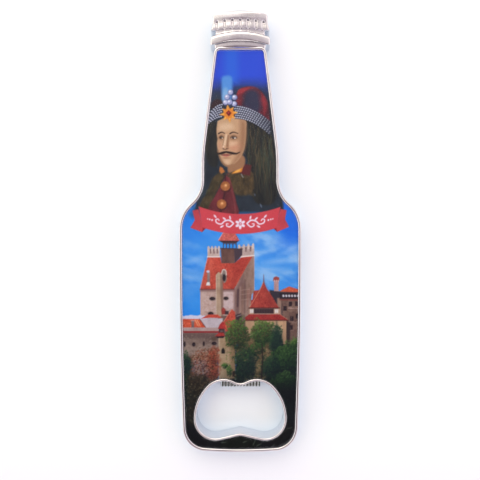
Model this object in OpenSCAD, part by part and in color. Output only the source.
// Souvenir bottle opener in the outline of a beer bottle.
// A plated zinc casting carries a printed panel under clear resin, a serrated steel lip and two magnets.
// It lies on its back: X runs across the bottle, Y from the base to the cap, Z up through the print.
// Heights along the bottle are measured from its base, and the whole is then centred on the origin.

/* [Bottle outline] */
// Length from the base to the top of the crown cap
length = 130; // [126:1:134]
// Width of the bottle at its shoulder
body_w = 36; // [35.5:0.5:38]
// Width at the foot of the neck
neck_w = 23; // [22:0.5:24]
// Width at the top of the neck
neck_top_w = 15.6; // [15:0.2:16.4]
// Height at which the shoulder starts to turn in
shoulder_h = 65.8; // [64:0.2:67]
// Radius of the shoulder
shoulder_r = 10; // [9:0.5:11]
// Radius of the hollow curve between shoulder and neck
hollow_r = 9; // [8:0.5:10]
// Radius of the corners at the base
base_r = 7; // [5:0.5:8]
// How far each side comes in towards the base
base_taper = 1; // [0:0.1:1.5]
// How far the base bows out in its middle
base_bow = 0.35; // [0.1:0.05:0.8]

/* [Casting] */
// Height of the rim above the back
thickness = 5.4; // [5.2:0.1:5.8]
// Depth of the recess that holds the print
recess = 0.8; // [0.7:0.05:0.9]
// Width of the rim round the bottle
rim_w = 0.9; // [0.7:0.05:1.1]
// Width of the rim round the mouth
mouth_rim_w = 0.7; // [0.5:0.05:0.9]
// Depth of the shallow relief in the back
back_relief = 0.3; // [0.1:0.05:0.4]

/* [Crown cap and collar] */
// Height of the crown cap
cap_h = 5.4; // [5:0.1:5.8]
// How far the cap's end bows out in its middle
cap_bow = 0.8; // [0.2:0.1:1]
// Width of the cap above its skirt
cap_w = 16.2; // [15.8:0.1:16.6]
// Width across the flared edge of the skirt
skirt_w = 17.4; // [17:0.1:18]
// Height of the top of the cap's crown above the back
crown_z = 6; // [5.8:0.1:6.4]
// Radius of the rounded front of cap and collar
crown_r = 30; // [20:1:40]
// Number of grooves across the skirt
grooves = 7; // [5:2:9]
// Height of the collar under the cap
collar_h = 3.2; // [2.8:0.1:3.4]

/* [Opener mouth] */
// Radius of the two lower lobes
lobe_r = 6.4; // [6.2:0.1:6.6]
// Radius of the mouth's long sides
side_r = 14; // [13.5:0.5:15]
// Radius of the two upper humps
hump_r = 6.75; // [6.5:0.05:7]
// Slope of the two flanks that meet in the lower point
point_slope = 13; // [10:1:16]

/* [Serrated lip] */
// Width of the steel plate
lip_w = 12; // [11:0.2:12.4]
// Length of the steel plate
lip_l = 9; // [8.5:0.1:9.5]
// Thickness of the steel plate
lip_t = 1.6; // [1.4:0.1:1.7]
// Number of teeth
teeth = 13; // [11:1:16]

/* [Print and resin] */
// Thickness of the adhesive film
film_t = 0.1; // [0.08:0.01:0.12]
// Thickness of the printed foil
print_t = 0.2; // [0.15:0.01:0.25]
// Thickness of the clear resin at the rim
resin_t = 0.45; // [0.3:0.05:0.5]

/* [Magnets] */
// Diameter of the magnet in the body
body_magnet_d = 22; // [18:1:24]
// Diameter of the magnet in the neck
neck_magnet_d = 12; // [10:1:13]
// Thickness of both magnets
magnet_t = 3; // [2.6:0.1:3]
// Thickness of the glue behind a magnet
glue_t = 0.2; // [0.1:0.05:0.2]

/* [Hidden] */
$fn = 96;
eps = 0.01;
fit_gap = 0.05;

// Places along the bottle
taper_h = 58;                              // the sides are parallel above this height
turn = acos((neck_w / 2 + hollow_r - body_w / 2 + shoulder_r) / (shoulder_r + hollow_r));
hollow_h = shoulder_h + (shoulder_r + hollow_r) * sin(turn);
bulge_h = 84;                              // the neck starts to lean in here
cap_h0 = length - cap_h;
collar_gap = 1.5;                          // plain strip of neck between collar and cap
collar_h0 = cap_h0 - collar_gap - collar_h;
neck_top_h = collar_h0 - 0.5;
neck_corner_r = 1.8;                       // corners where the flat neck ends under the collar
floor_z = thickness - recess;

skirt_h = 2.7;                             // height of the fluted part of the cap
rib_r = 1.1;

// The opener's mouth, as the outer edge of its rim
lobe_c = [7.3, 9.8];
side_c = [lobe_c.x + lobe_r - side_r, lobe_c.y];
hump_c = side_c + (side_r - hump_r) * [cos(44.2), sin(44.2)];
dip_h = 20.35;                             // lowest point between the two humps
dip_gap = dip_h - hump_c.y;
dip_r = (hump_c.x ^ 2 + dip_gap ^ 2 - hump_r ^ 2) / (2 * (hump_r - dip_gap));
dip_c = [0, dip_h + dip_r];
dip_a = atan2(dip_c.y - hump_c.y, -hump_c.x);

// The lip plate lies in a pocket in the back
lip_z = 0.3;
lip_h0 = 18.4;
pocket_reach = 2;                          // how far the pocket runs out into the mouth
teeth_room = 3;                            // length of the deeper part over the teeth
tooth_l = 2.6;
tooth_z = 0.35;
post_d = 2.2;
post_x = 3.4;
post_h = lip_h0 + lip_l - 2.6;

// Height of each magnet's centre
body_magnet_h = 49;
neck_magnet_h = 98;

// ---- lists of points ----

function unit(v) = v / norm(v);
function left_of(v) = [-v.y, v.x];
function arc(c, r, a0, a1, n) = [for (i = [0:n]) c + r * [cos(a0 + (a1 - a0) * i / n), sin(a0 + (a1 - a0) * i / n)]];
function backwards(pts) = [for (i = [len(pts) - 1:-1:0]) pts[i]];
function mirrored(pts) = [for (p = backwards(pts)) if (p.x > eps) [-p.x, p.y]];

// A closed outline moved inwards by d, with mitred corners
function inset(pts, d) = let (n = len(pts)) [
    for (i = [0:n - 1])
        let (
            before = left_of(unit(pts[i] - pts[(i + n - 1) % n])),
            after = left_of(unit(pts[(i + 1) % n] - pts[i]))
        )
        pts[i] + d * (before + after) / (1 + before * after)
];

function side_x(h) = body_w / 2 - base_taper * (max(taper_h - h, 0) / 50) ^ 2;

// The right half of the bottle below its collar, from the middle of the base up to the neck
function bottle_right() =
    let (
        corner_h = base_bow + base_r,
        corner_x = side_x(corner_h) - base_r,
        lean = atan2(neck_w / 2 - neck_top_w / 2, neck_top_h - bulge_h)
    )
    concat(
        [for (i = [0:5]) [corner_x * i / 6, base_bow * (i / 6) ^ 2]],
        arc([corner_x, corner_h], base_r, -86, 0, 14),
        [for (h = [14:8:62]) [side_x(h), h]],
        arc([body_w / 2 - shoulder_r, shoulder_h], shoulder_r, 0, turn, 12),
        backwards(arc([neck_w / 2 + hollow_r, hollow_h], hollow_r, 180, 180 + turn - 4, 10)),
        arc([neck_w / 2 - 60, bulge_h], 60, 0, lean, 4),
        [[neck_top_w / 2, neck_top_h - neck_corner_r]],
        arc([neck_top_w / 2, neck_top_h] - neck_corner_r * [1, 1], neck_corner_r, 20, 90, 4)
    );

// The right half of the mouth, from the lower point round to the dip
function mouth_right() =
    let (
        flank = lobe_c + lobe_r * [cos(-90 - point_slope), sin(-90 - point_slope)],
        point_r = 1.5,
        point_h = flank.y + flank.x * tan(point_slope)
    )
    concat(
        backwards(arc([0, point_h - point_r / cos(point_slope)], point_r, 90 - point_slope, 90, 3)),
        arc(lobe_c, lobe_r, -90 - point_slope, 0, 20),
        arc(side_c, side_r, 4, 44.2, 9),
        arc(hump_c, hump_r, 50, dip_a, 12),
        backwards(arc(dip_c, dip_r, 270, dip_a + 180, 6))
    );

BOTTLE = concat(bottle_right(), mirrored(bottle_right()));
MOUTH = concat(mouth_right(), mirrored(mouth_right()));

// ---- shapes ----

// Everything is drawn up from the base, then centred
module on_centre() translate([0, -length / 2, 0]) children();

module slab(pts, z0, z1) translate([0, 0, z0]) linear_extrude(z1 - z0) polygon(pts);

// A flat sheet in the recess, round the mouth's rim
module panel_sheet(z0, z1, gap) difference() {
    slab(inset(BOTTLE, rim_w + gap), z0, z1);
    slab(inset(MOUTH, -gap), z0 - 1, z1 + 1);
}

module disc(h, d, z0, z1) translate([0, h, z0]) cylinder(d = d, h = z1 - z0);

// A bar across the bottle with rounded ends, and the front rounded like a real neck
module rounded_bar(h0, h1, w, z) {
    r = (h1 - h0) / 2;
    intersection() {
        linear_extrude(z) {
            translate([-w / 2 + r, h0]) square([w - 2 * r, h1 - h0]);
            for (side = [-1, 1]) translate([side * (w / 2 - r), h0 + r]) circle(r = r);
        }
        round_front(h0, h1, z);
    }
}

// The cylinder whose front is the rounded front of the bottle's neck, from h0 to h1
module round_front(h0, h1, z)
    translate([0, h0, z - crown_r]) rotate([-90, 0, 0]) cylinder(r = crown_r, h = h1 - h0);

// Height of the crown's rounded front at a distance x from the middle
function front_z(x) = crown_z - crown_r + sqrt(crown_r ^ 2 - x ^ 2);

// One rib of the skirt, which swells towards the skirt's edge and follows the rounded front
module rib(x) translate([x, cap_h0, front_z(x) - rib_r])
    rotate([-90, 0, 0]) cylinder(r1 = rib_r, r2 = rib_r / 2, h = skirt_h, $fn = 32);

// The crown cap: a domed top and a skirt of flaring flutes
module crown_cap() {
    pitch = cap_w / grooves;
    corner_r = 0.8;
    end_x = cap_w / 2 - corner_r;
    end_h = length - cap_bow;
    intersection() {
        slab(concat(
            [[-cap_w / 2, cap_h0 + 0.3], [cap_w / 2, cap_h0 + 0.3]],
            arc([end_x, end_h - corner_r], corner_r, 0, 80, 5),
            [for (i = [5:-1:-5]) [end_x * i / 6, length - cap_bow * (i / 6) ^ 2]],
            arc([-end_x, end_h - corner_r], corner_r, 100, 180, 5)
        ), 0, crown_z);
        union() {
            round_front(cap_h0, cap_h0 + skirt_h, crown_z - 0.5);
            round_front(cap_h0 + skirt_h, end_h - 0.2, crown_z);
            round_front(end_h - 0.2, length, crown_z - 0.7);
        }
    }
    for (i = [0:grooves]) rib((i - grooves / 2) * pitch);
    // the skirt's flared edge, seen past the cap's sides
    skirt_edge_z = 4.2;
    slab([
        [-skirt_w / 2, cap_h0], [skirt_w / 2, cap_h0],
        [cap_w / 2, cap_h0 + 2], [-cap_w / 2, cap_h0 + 2],
    ], 0, skirt_edge_z);
}

// Collar and cap on a short piece of neck
module bottle_head() {
    bore_w = neck_top_w - 0.8;
    rounded_bar(collar_h0, collar_h0 + collar_h, skirt_w, crown_z);
    intersection() {
        translate([-bore_w / 2, neck_top_h - 0.6, 0]) cube([bore_w, cap_h0 - neck_top_h + 2, crown_z]);
        round_front(neck_top_h - 1, cap_h0 + 2, crown_z - 0.6);
    }
    crown_cap();
}

module lip_pocket() {
    translate([-lip_w / 2 - fit_gap, lip_h0 - pocket_reach, -1])
        cube([lip_w + 2 * fit_gap, lip_l + pocket_reach + fit_gap, 1 + lip_z + lip_t]);
    translate([-lip_w / 2 - fit_gap, lip_h0 - pocket_reach, 0])
        cube([lip_w + 2 * fit_gap, pocket_reach + teeth_room, lip_z + lip_t + tooth_z + 0.1]);
}

// Cast posts that hold the lip plate, each peened over into a low head
module lip_posts() {
    for (side = [-1, 1]) translate([side * post_x, post_h, 0]) {
        cylinder(d = post_d, h = lip_z + lip_t + 0.5);
        cylinder(d = post_d + 1.2, h = lip_z - fit_gap);
    }
}

module body_casting() color("silver") on_centre() {
    difference() {
        union() {
            slab(BOTTLE, 0, thickness);
            bottle_head();
        }
        difference() {
            slab(inset(BOTTLE, rim_w), floor_z, crown_z + 1);
            slab(MOUTH, 0, thickness);
        }
        slab(inset(MOUTH, mouth_rim_w), -1, thickness + 1);
        lip_pocket();
        disc(neck_magnet_h, neck_magnet_d + 2 * fit_gap, -1, magnet_t + glue_t);
        disc(body_magnet_h, body_magnet_d + 2 * fit_gap, -1, magnet_t + glue_t);
        intersection() {
            slab(inset(BOTTLE, 2.4), -1, back_relief);
            translate([-body_w / 2, lip_h0 + lip_l + 1, -1]) cube([body_w, neck_top_h - lip_h0 - lip_l - 4, 3]);
        }
    }
    lip_posts();
}

module tooth() {
    pitch = lip_w / teeth;
    rotate([90, 0, 0]) translate([0, 0, -tooth_l])
        linear_extrude(tooth_l) polygon([[-pitch / 2 + eps, -0.1], [pitch / 2 - eps, -0.1], [0, tooth_z]]);
}

module serrated_lip() color("slategray") on_centre() difference() {
    union() {
        translate([-lip_w / 2, lip_h0, lip_z]) cube([lip_w, lip_l, lip_t]);
        for (i = [0:teeth - 1])
            translate([(i + 0.5 - teeth / 2) * lip_w / teeth, lip_h0, lip_z + lip_t]) tooth();
    }
    for (side = [-1, 1]) translate([side * post_x, post_h, -1]) cylinder(d = post_d + 2 * fit_gap, h = 4);
    // the edge that goes under a cap is thinned from below
    translate([0, lip_h0, lip_z]) rotate([-30, 0, 0]) translate([-lip_w, -2, -3]) cube([2 * lip_w, 4, 3]);
}

module print_adhesive() color("ivory") on_centre() panel_sheet(floor_z, floor_z + film_t, 0.3);

module printed_panel() color("royalblue") on_centre()
    panel_sheet(floor_z + film_t, floor_z + film_t + print_t, 0.15);

module resin_dome() color([0.85, 0.92, 1, 0.35]) on_centre()
    panel_sheet(floor_z + film_t + print_t, floor_z + film_t + print_t + resin_t, fit_gap);

module magnet(h, d) color("dimgray") on_centre() disc(h, d, 0, magnet_t);

module glue(h, d) color("khaki") on_centre() disc(h, d - 1, magnet_t, magnet_t + glue_t);

body_casting();
serrated_lip();
print_adhesive();
printed_panel();
resin_dome();
magnet(neck_magnet_h, neck_magnet_d);  // neck_magnet
magnet(body_magnet_h, body_magnet_d);  // body_magnet
glue(neck_magnet_h, neck_magnet_d);  // neck_magnet_glue
glue(body_magnet_h, body_magnet_d);  // body_magnet_glue
